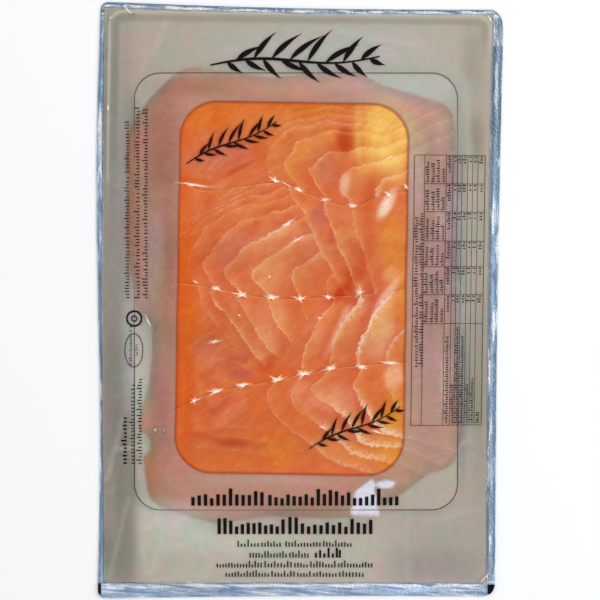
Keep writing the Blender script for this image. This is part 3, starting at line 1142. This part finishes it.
def tableRows():  # rows of strokes in the cells, laid out like the rows above
    foot, bars = table["bottom"], table["bars"]
    turn = 90 + math.degrees(math.atan2(table["lean"], table["top"] - foot))
    style = (turn, table["height"], table["pitch"], table["stroke"])
    cells = list(zip(bars[1:-1], bars[:-2]))
    rows = []
    for x, share in table["headings"]:
        words = []
        for low, high in cells:
            start = low + table["headingGap"]
            words.append((start - foot, start + share * (high - low - table["headingSpare"]) - foot))
        rows.append((words, (tableX(x, foot), foot), *style))
    for index, (label, figure) in enumerate(zip(table["labels"], table["figures"])):
        left, right = table["rules"][index + 2:index + 4]
        ends = [high - table["figureGap"] - foot for _, high in cells]
        words = [(table["labelStart"], label)] + [(end - figure, end) for end in ends]
        rows.append((words, (tableX((left + right) / 2 + table["sink"], foot), foot), *style))
    return rows


def tableParts():
    parts = []
    for index, x in enumerate(table["rules"]):
        ends = [(tableX(x, y), y) for y in (table["bottom"], table["top"])]
        heavier = table["outerRule"] if index in (0, len(table["rules"]) - 1) else 1
        parts.append(ribbon(evenLine(ends), table["ruleWidth"] * heavier))
    for index, y in enumerate(table["bars"]):
        start = table["rules"][0 if index in (0, len(table["bars"]) - 1) else 1]
        ends = [(tableX(start, y), y), (tableX(table["rules"][-1], y), y)]
        parts.append(ribbon(evenLine(ends), table["ruleWidth"]))
    return parts


def brushed(across, rise, pressure, centre, size, turn):  # one brush stroke, placed and turned
    along, side = math.cos(math.radians(turn)), math.sin(math.radians(turn))
    points = np.column_stack([across * along - rise * side, across * side + rise * along]) * size + centre
    return ribbon(points, size * motif["width"] * pressure)


def sprigParts(centre, size, turn):  # a brushed sprig: a bowed stem with leaves to both sides
    share = np.linspace(0, 1, motif["stemSteps"])
    stemRise = motif["bow"] * np.sin(2 * math.pi * share)
    pressure = 0.3 + 0.5 * np.sin(math.pi * share) * (1 - share)
    parts = [brushed(share - 0.5, stemRise, pressure, centre, size, turn)]
    blade = np.linspace(0, 1, motif["leafSteps"])
    for index in range(motif["leaves"]):
        place = motif["leafFrom"] + motif["leafReach"] * index / (motif["leaves"] - 1)
        sign, side = (1, motif["upper"]) if index % 2 else (-1, motif["lower"])
        grown = motif["shortest"] + (1 - motif["shortest"]) * math.sin(math.pi * place)
        length = motif["leaf"] * grown * side
        lean = math.radians(motif["lean"] + motif["sway"] * math.sin(5 * index))
        bend = sign * (math.sin(lean) * blade + motif["curl"] * blade * (1 - blade)) * length
        across = place - 0.5 + (math.cos(lean) * blade + motif["draw"] * blade ** 2) * length
        rise = motif["bow"] * math.sin(2 * math.pi * place) + bend
        pressure = 0.06 + np.sin(math.pi * blade ** 0.7) ** 1.5
        parts.append(brushed(across, rise, pressure, centre, size, turn))
    return parts


def makeDarkInk():
    material, tree, surface = newMaterial("darkInk")
    wear = noise(tree, 0.5, 2.0)
    body = mixColour(tree, remap(tree, wear, 0.3, 0.7), colour("0d0606"), colour("170b0a"))
    overFish = attribute(tree, "overFish")
    body = mixColour(tree, overFish, body, colour("280405"))
    alpha = remap(tree, overFish, 0, 1, 0.88, 0.8)
    principled(tree, surface, Base_Color=body, Roughness=0.5, Specular_IOR_Level=0.1, Alpha=alpha)
    return material


def makeStrokeNodes():  # fills rows of edges with upright strokes, as words stand on a line
    tree = bpy.data.node_groups.new("printStrokes", "GeometryNodeTree")
    kinds = {"Rows": "Geometry", "Pitch": "Float", "Stroke Width": "Float", "Stroke Height": "Float",
             "Tall Share": "Float", "Seed": "Int", "Ink": "Material"}
    for label, kind in kinds.items():
        tree.interface.new_socket(label, in_out="INPUT", socket_type="NodeSocket" + kind)
    tree.interface.new_socket("Strokes", in_out="OUTPUT", socket_type="NodeSocketGeometry")
    given = tree.nodes.new("NodeGroupInput").outputs
    curve = addNode(tree, "GeometryNodeMeshToCurve", {0: given["Rows"]}).outputs[0]
    inputs = {"Curve": curve, "Length": given["Pitch"]}
    spots = addNode(tree, "GeometryNodeResampleCurve", inputs, mode="LENGTH")
    bar = addNode(tree, "GeometryNodeMeshCube", {"Size": (1, 1, 1), "Vertices Y": 4}).outputs["Mesh"]
    bar = addNode(tree, "GeometryNodeTransform", {"Geometry": bar, "Translation": (0, 0.5, 0)}).outputs[0]
    chance = addNode(tree, "FunctionNodeRandomValue", {"Seed": given["Seed"]}, data_type="FLOAT").outputs[1]
    tall = mathNode(tree, "LESS_THAN", chance, given["Tall Share"])
    inputs = {2: 0.6, 3: 1.0, "Seed": mathNode(tree, "ADD", given["Seed"], 50)}
    short = addNode(tree, "FunctionNodeRandomValue", inputs, data_type="FLOAT").outputs[1]
    growth = mathNode(tree, "MULTIPLY_ADD", tall, 0.5, short)
    height = mathNode(tree, "MULTIPLY", given["Stroke Height"], growth)
    thick = (ink["high"] - ink["low"]) * mm
    scale = addNode(tree, "ShaderNodeCombineXYZ", {0: given["Stroke Width"], 1: height, 2: thick})
    tangent = addNode(tree, "GeometryNodeInputTangent").outputs[0]
    turn = addNode(tree, "FunctionNodeAlignRotationToVector", {"Vector": tangent}, axis="X", pivot_axis="Z")
    inputs = {"Points": spots.outputs[0], "Instance": bar, "Rotation": turn.outputs[0],
              "Scale": scale.outputs[0]}
    placed = addNode(tree, "GeometryNodeInstanceOnPoints", inputs).outputs[0]
    solid = addNode(tree, "GeometryNodeRealizeInstances", {0: placed}).outputs[0]
    inked = addNode(tree, "GeometryNodeSetMaterial", {"Geometry": solid, "Material": given["Ink"]}).outputs[0]
    tree.links.new(inked, tree.nodes.new("NodeGroupOutput").inputs[0])
    return tree


def strokeWords(words, start, turn, height, pitch, width, nodes, material, seed):
    along = np.array([math.cos(math.radians(turn)), math.sin(math.radians(turn))])
    ends = np.array([np.array(start) + along * place for word in words for place in word])
    rows = bpy.data.meshes.new("rows")
    vertices = np.column_stack([ends, np.zeros(len(ends))]) * mm
    rows.from_pydata(vertices.tolist(), [(index, index + 1) for index in range(0, len(ends), 2)], [])
    holder = bpy.data.objects.new("rows", rows)
    bpy.context.scene.collection.objects.link(holder)
    modifier = holder.modifiers.new("strokes", "NODES")
    modifier.node_group = nodes
    values = {"Pitch": pitch * mm, "Stroke Width": width * mm, "Stroke Height": height * mm,
              "Tall Share": ink["tallShare"], "Seed": seed, "Ink": material}
    sockets = {item.name: item.identifier for item in nodes.interface.items_tree if item.in_out == "INPUT"}
    for label, value in values.items():
        modifier[sockets[label]] = value
    bpy.context.view_layer.update()
    grown = bpy.data.meshes.new_from_object(holder.evaluated_get(bpy.context.evaluated_depsgraph_get()))
    points = np.zeros(len(grown.vertices) * 3)
    grown.vertices.foreach_get("co", points)
    points = points.reshape(-1, 3) / mm
    points[:, 2] += sample(filmLevel, points[:, 0], points[:, 1]) + (ink["low"] + ink["high"]) / 2
    faces = np.array([tuple(face.vertices) for face in grown.polygons])
    bpy.data.objects.remove(holder)
    bpy.data.meshes.remove(rows)
    bpy.data.meshes.remove(grown)
    return points, faces


def markDepth(centre, size):  # a small block, never past the edge of the film
    return lambda x, y: np.minimum(trimDepthAt(x, y) - 0.15, depthInRoundBox(x, y, centre, size, 0.2))


def printDark():
    material = makeDarkInk()
    nodes = makeStrokeNodes()
    words = [strokeWords(*row, nodes, material, seed) for seed, row in enumerate(wordRows + tableRows())]
    piece = makeObject("printedRows", *joinParts(words), material)
    finishPiece(piece, "dark_ink")
    rules = tableParts()
    for centre, width, height, line in rings:
        rules.append(ribbon(ringPoints(centre, width, height), line, closed=True))
    finishPiece(makeObject("printedRules", *joinParts(rules), material), "dark_ink")
    for name, centre, size in cornerMarks:
        box = (np.array(centre) - size, np.array(centre) + size)
        mark = makeSheet(name, material, markDepth(centre, size), filmAt(ink["low"]), filmAt(ink["high"]),
                         step=0.4, box=box)
        finishPiece(mark, "dark_ink")
    sprigs = [part for place in motif["places"] for part in sprigParts(*place)]
    points, faces = joinParts(sprigs)
    piece = makeObject("printedSprigs", points, faces, material)
    layer = piece.data.attributes.new("overFish", "FLOAT", "POINT")
    layer.data.foreach_set("value", (windowDepth(points[:, 0], points[:, 1]) > 0).astype(np.float32))
    finishPiece(piece, "dark_ink")
    print("dark print done")


printDark()

# Air caught under the film, where light gathers
pocket = {
    "low": 0.06, "high": 0.09, "spokes": 18, "ragged": 0.4, "whisker": 1.8, "grow": 1.1, "seed": 5,
    "lean": 0.2,  # how far the heart stands off the middle, for its width
    "middle": 0.5, "middleGlint": 0.4,  # place of the ring inside the rim, and its share of the glint
}
# middle, length, width, turn in degrees, strength
pockets = [
    ((-53, 57.7), 13.5, 1.1, -8, 0.9), ((-12.3, 59.8), 4.5, 1.8, -25, 1.0), ((-6.5, 57.6), 8, 0.6, -32, 0.6),
    ((-0.6, 55.2), 4, 1.6, -30, 1.0), ((12.4, 50.2), 3, 1.5, 0, 0.8), ((26.5, 47.2), 4, 2.0, 0, 0.8),
    ((44.5, 52.5), 4, 1.2, -40, 1.0), ((43.5, 49), 7, 1.2, 60, 0.35), ((53, 56.8), 3, 1.2, -60, 0.8),
    ((-52, 8.9), 2.5, 1.1, -20, 0.7), ((-41.6, 5.8), 4.5, 2.0, -15, 0.9), ((-28.8, 2.8), 5.5, 2.2, -8, 1.0),
    ((-14, 1.4), 6, 2.0, 0, 1.0), ((0.1, 1.0), 4.6, 2.2, 0, 1.0), ((14.2, 1.6), 3.4, 1.8, 0, 0.9),
    ((29.6, 4.2), 5, 3, 70, 0.5),
    ((-52.7, -50.0), 4.2, 2.2, 15, 0.8), ((-41.7, -45.2), 6, 2.2, 12, 0.9), ((-28.1, -42.1), 7, 1.7, 8, 0.9),
    ((-11.6, -39.6), 6, 2.6, 15, 1.0), ((2, -36.6), 5.5, 2.4, 15, 1.0), ((15.5, -33.9), 5, 2.2, 15, 1.0),
    ((30.8, -33.2), 5, 1.8, 0, 0.9), ((45.6, -31.4), 9, 1.2, 0, 0.9),
    ((-42.3, -20.6), 6, 1.4, 8, 0.6), ((-15.2, 11.7), 1.0, 1.0, 0, 1.0), ((-30.2, -7.7), 1.0, 1.0, 0, 1.0),
    ((-6, 38.4), 7, 1.7, 35, 0.7), ((-1.1, 30.4), 7, 1.4, 28, 0.6), ((10, -8.9), 2.5, 1.0, 0, 0.7),
    ((45, 71.5), 3, 0.6, 30, 0.9), ((39.4, -66.0), 12, 0.9, -14, 0.7), ((11.5, -63.4), 3, 1.5, -20, 0.7),
    ((-75.5, -11.2), 8, 1.1, -60, 0.8), ((-72.5, -64.8), 2.4, 1.5, 60, 0.5),
    ((-86, 145.2), 6, 0.9, -42, 1.0), ((-95.2, 141.8), 3, 0.8, 85, 0.9), ((95.5, 141.0), 6, 1.1, -60, 0.9),
    ((-96.5, 96.8), 4, 1.3, 88, 0.9), ((92.2, -139.8), 8, 0.8, 48, 0.7), ((-68.2, -65), 2.6, 1.7, 80, 0.3),
]


def makeAirPocket():
    material, tree, surface = newMaterial("airPocket")
    broken = remap(tree, noise(tree, 0.8, 2.0), 0.3, 0.55, 0.35, 1.0)
    alpha = mathNode(tree, "MULTIPLY", attribute(tree, "glint"), broken)
    principled(tree, surface, Base_Color=colour("ffefe2"), Roughness=0.3, Alpha=alpha,
               Emission_Color=colour("ffe4cc"), Emission_Strength=0.25)
    return material


def makePockets():
    points, faces, glints = [], [], []
    spokes = pocket["spokes"]
    turnRound = np.linspace(0, 2 * math.pi, spokes, endpoint=False)
    chance = np.random.default_rng(pocket["seed"])
    for (x, y), length, width, turn, strength in pockets:
        length, width = length * pocket["grow"], width * pocket["grow"]
        along, side = math.cos(math.radians(turn)), math.sin(math.radians(turn))
        ragged = 1 + pocket["ragged"] * chance.uniform(-1, 1, spokes)
        ragged[chance.integers(0, 3)::3] *= pocket["whisker"]
        u = length / 2 * np.cos(turnRound) * ragged
        taper = np.abs(np.sin(turnRound)) ** 0.2 * (1 - 0.4 * np.cos(turnRound))
        v = width / 2 * np.sin(turnRound) * taper * ragged
        rim = np.column_stack([x + u * along - v * side, y + u * side + v * along])
        heart = np.array([[x, y]]) + pocket["lean"] * width * np.array([[side, -along]])
        middle = heart + (rim - heart) * pocket["middle"]
        level = [sample(filmLevel, ring[:, 0], ring[:, 1]) for ring in (rim, middle, heart)]
        mid = (pocket["low"] + pocket["high"]) / 2
        start = sum(len(block) for block in points)
        points.append(np.column_stack([rim, level[0] + mid]))
        for lift in (pocket["high"], pocket["low"]):
            points.append(np.column_stack([middle, level[1] + lift]))
            points.append(np.column_stack([heart, level[2] + lift]))
        glints += [0] * spokes + ([strength * pocket["middleGlint"]] * spokes + [strength]) * 2
        for index in range(spokes):
            after = (index + 1) % spokes
            for offset, flip in ((spokes, 1), (2 * spokes + 1, -1)):
                corners = [(index, after, offset + after), (index, offset + after, offset + index),
                           (offset + index, offset + after, offset + spokes)]
                faces += [[start + corner for corner in face][::flip] for face in corners]
    piece = makeObject("airPockets", np.concatenate(points), faces, makeAirPocket(), 60)
    layer = piece.data.attributes.new("glint", "FLOAT", "POINT")
    layer.data.foreach_set("value", np.array(glints, np.float32))
    finishPiece(piece, "top_film")
    print("air pockets done")


makePockets()

# The silver base film and the board
foil = {
    "top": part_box("base_film")[1].z / mm,
    "crinkle": 0.22, "crinkleSize": 2.6,
    "bandReach": 8.0,
    "bands": [(0.0, "a9bccd"), (0.5, "68839e"), (1.4, "809ab5"), (2.3, "a0b6cb"), (3.1, "869fb8"),
              (3.9, "6b7f93"), (4.8, "8c9aa8"), (8.0, "a4b2c0")],  # distance from the cut edge and colour
    "pale": "e6ebf3", "bright": "eef4fa", "dim": "5c6f85",
    "streakDark": "7b93b6", "streakMid": "a9bdd6", "streakLight": "f4f8ff",
    "crest": "fdfeff", "crestAt": 5.2, "headGlare": "f6f9fc", "headDark": "5f7994", "underPrint": "c4c3ad",
}
# Broad changes along the silver border: middle, half size, how bright
foilShades = [
    ((97.5, 105), (5, 32), 0.8),
    ((97.5, 0), (5, 40), 1.16),
    ((-99, 30), (4, 60), 1.28),
    ((-99, -90), (4, 40), 1.1),
    ((-56, -145.4), (17, 2.4), 0.74),
    ((-17, -145.4), (5, 2), 0.78),
    ((52, -145.4), (15, 2.4), 1.35),
]


def foilTint():
    tint = np.ones(gridX.shape)
    for centre, size, gain in foilShades:
        tint = tint * (1 + (gain - 1) * boxWeight(gridX, gridY, centre, size))
    return tint


def bandColour(tree, depth):
    ramp = addNode(tree, "ShaderNodeValToRGB", {0: mathNode(tree, "DIVIDE", depth, foil["bandReach"])})
    stops = ramp.color_ramp.elements
    while len(stops) < len(foil["bands"]):
        stops.new(0.5)
    for stop, (place, code) in zip(stops, foil["bands"]):
        stop.position, stop.color = place / foil["bandReach"], colour(code)
    return ramp.outputs[0]


def makeFoil():
    material, tree, surface = newMaterial("silverFoil")
    creased, wide = noise(tree, 2.6, 3.0), noise(tree, 24.0, 2.0)
    wander = mathNode(tree, "SUBTRACT", noise(tree, 9.0, 2.0), 0.5)
    depth = mathNode(tree, "MULTIPLY_ADD", wander, 1.4, attribute(tree, "edgeDepth"))
    inputs = {"Vector": objectPoint(tree), "Rotation": (0, 0, math.radians(-4)), "Scale": (8.0, 0.7, 1.0)}
    lengthwise = addNode(tree, "ShaderNodeMapping", inputs, vector_type="TEXTURE").outputs[0]
    streak = noise(tree, 2.0, 4.0, lengthwise, roughness=0.6)
    inputs = {"Vector": objectPoint(tree), "Scale": (1.3, 0.13, 1.0)}
    upright = noise(tree, 2.4, 3.0, addNode(tree, "ShaderNodeMapping", inputs).outputs[0])
    foot, head = attribute(tree, "footShare"), attribute(tree, "headShare")
    under = remap(tree, attribute(tree, "panelDepth"), 0.3, 1.2)
    streaks = mixColour(tree, remap(tree, streak, 0.36, 0.52), colour(foil["streakDark"]),
                        colour(foil["streakMid"]))
    streaks = mixColour(tree, remap(tree, streak, 0.54, 0.66), streaks, colour(foil["streakLight"]))
    fromCrest = mathNode(tree, "ABSOLUTE", mathNode(tree, "SUBTRACT", depth, foil["crestAt"]))
    crest = remap(tree, fromCrest, 0.3, 1.1, 0.7, 0.0)
    crest = mathNode(tree, "MULTIPLY", crest, remap(tree, streak, 0.4, 0.5))
    body = paintLayers(tree, bandColour(tree, depth), [
        (remap(tree, wide, 0.55, 0.68, 0.0, 0.45), foil["pale"]),
        (remap(tree, upright, 0.54, 0.66, 0.0, 0.85), foil["bright"]),
        (remap(tree, upright, 0.32, 0.46, 0.7, 0.0), foil["dim"]),
        (mathNode(tree, "MULTIPLY", foot, 0.9), streaks),
        (mathNode(tree, "MULTIPLY", foot, crest), foil["crest"]),
        (mathNode(tree, "MULTIPLY", head, remap(tree, streak, 0.46, 0.54)), foil["headGlare"]),
        (mathNode(tree, "MULTIPLY", head, remap(tree, depth, 0.3, 1.5, 0.85, 0.1)), foil["headDark"]),
        (1.0, attribute(tree, "foilShade"), "MULTIPLY"),
        (under, foil["underPrint"]),
    ])
    ends = mathNode(tree, "MAXIMUM", foot, head)  # streaks run along the ends, and upright at the sides
    sides = mathNode(tree, "MULTIPLY", upright, mathNode(tree, "SUBTRACT", 1.0, ends))
    relief = mathNode(tree, "ADD", creased, mathNode(tree, "MULTIPLY_ADD", streak, ends, sides))
    bumpSize = remap(tree, under, 0, 1, 1.0, 0.1)
    inputs = {"Point": objectPoint(tree), "Crease Size": 1.6, "Strength": bumpSize}
    crinkle = useGroup(tree, crinkleGroup, inputs)["Height"]
    height = mathNode(tree, "MULTIPLY_ADD", relief, bumpSize, crinkle)
    normal = addNode(tree, "ShaderNodeBump", {"Height": height, "Distance": 0.2 * mm}).outputs["Normal"]
    metal = remap(tree, under, 0, 1, 0.4, 0.1)
    principled(tree, surface, Base_Color=body, Metallic=metal, Roughness=0.32, Normal=normal)
    return material


def makeBoardCard():
    material, tree, surface = newMaterial("boardCard")
    grain = noise(tree, 0.6, 4.0)
    body = mixColour(tree, remap(tree, grain, 0.3, 0.7), colour("bdbba6"), colour("cac8b4"))
    normal = addNode(tree, "ShaderNodeBump", {"Height": grain, "Distance": 0.05 * mm}).outputs["Normal"]
    principled(tree, surface, Base_Color=body, Roughness=0.7, Normal=normal)
    return material


ripples = 0.5 + 0.5 * softNoise(gridX, gridY, foil["crinkleSize"], 31)
foilTop = foil["top"] + foil["crinkle"] * (0.9 * ripples * softStep(-boardDepth, 6, 14) - 1)
foilFields = {"edgeDepth": trimDepth, "panelDepth": panelDepth(gridX, gridY), "foilShade": foilTint(),
              "footShare": softStep(-gridY, 138, 142), "headShare": softStep(gridY, 139, 142)}
silverBase = makeSheet("silverBaseFilm", makeFoil(), trimDepthAt, lambda x, y: 0 * x, sampler(foilTop),
                       foilFields)
finishPiece(silverBase, "silver_film", "base_film")
boardCard = makeBoardCard()
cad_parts["inner_board"].data.materials.clear()
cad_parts["inner_board"].data.materials.append(boardCard)
print("base film done")

# Camera, light and floor
view = {"height": 1.1, "field": 0.3, "sensor": 36.0, "aim": (0.0, 0.0, 0.005)}
lights = {
    "rightSoftbox": {"place": (1.2, 0.35, 0.75), "size": 1.3, "power": 14.4},
    "leftSoftbox": {"place": (-1.2, 0.1, 0.75), "size": 1.3, "power": 6.8},
    "footSoftbox": {"place": (0.2, -1.2, 0.75), "size": 1.3, "power": 7.2},
    "headSoftbox": {"place": (0.1, 1.2, 0.75), "size": 1.3, "power": 7.2},
}
sky = {"colour": (0.93, 0.96, 1.0, 1), "strength": 0.3}


def addCamera():
    camera = bpy.data.cameras.new("camera")
    camera.sensor_width = view["sensor"]
    camera.lens = view["sensor"] * (view["height"] - view["aim"][2]) / view["field"]
    camera.clip_end = 20
    holder = bpy.data.objects.new("camera", camera)
    holder.location = (view["aim"][0], view["aim"][1], view["height"])
    bpy.context.scene.collection.objects.link(holder)
    bpy.context.scene.camera = holder


def addLight(name, place, size, power):
    light = bpy.data.lights.new(name, "AREA")
    light.shape, light.size, light.energy = "DISK", size, power
    holder = bpy.data.objects.new(name, light)
    holder.location = place
    direction = holder.location.normalized()
    holder.rotation_euler = direction.to_track_quat("Z", "Y").to_euler()
    bpy.context.scene.collection.objects.link(holder)


def addFloor():
    material, tree, surface = newMaterial("paleFloor")
    principled(tree, surface, Base_Color=[0.93, 0.93, 0.93, 1], Roughness=0.8)
    reach = 3000
    corners = [(-reach, -reach, -0.3), (reach, -reach, -0.3), (reach, reach, -0.3), (-reach, reach, -0.3)]
    makeObject("floor", corners, [(0, 1, 2, 3)], material)


addCamera()
for name, settings in lights.items():
    addLight(name, **settings)
addFloor()
world = bpy.data.worlds.new("studio")
world.use_nodes = True
background = world.node_tree.nodes["Background"].inputs
background["Color"].default_value, background["Strength"].default_value = sky["colour"], sky["strength"]
bpy.context.scene.world = world
bpy.context.scene.view_settings.view_transform = "Standard"
print("stage done")
